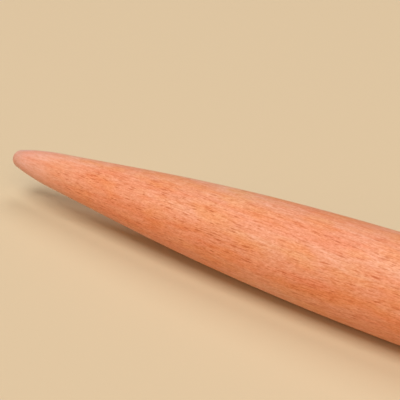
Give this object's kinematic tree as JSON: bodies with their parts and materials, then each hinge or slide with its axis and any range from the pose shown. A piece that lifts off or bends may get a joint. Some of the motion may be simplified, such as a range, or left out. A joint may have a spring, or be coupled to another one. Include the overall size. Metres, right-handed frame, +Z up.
{
  "type": "tapered rolling pin",
  "caption": "One-piece turned wooden rolling pin with a straight middle that sweeps into two tapered ends with rounded tips, for rolling out dough.",
  "frame": {"origin": "on the resting surface, under the middle of the barrel", "axes": "+X along the pin's turning axis, from the middle to one tip; +Z up"},
  "size_m": [0.4, 0.035, 0.035],
  "materials": {
    "oiled_beech": "fine-sanded, oiled to a soft satin; warm orange-pink beech with short dark ray flecks along the grain"
  },
  "bodies": {
    "root": {"turned_pin": "oiled_beech"}
  },
  "joints": []
}
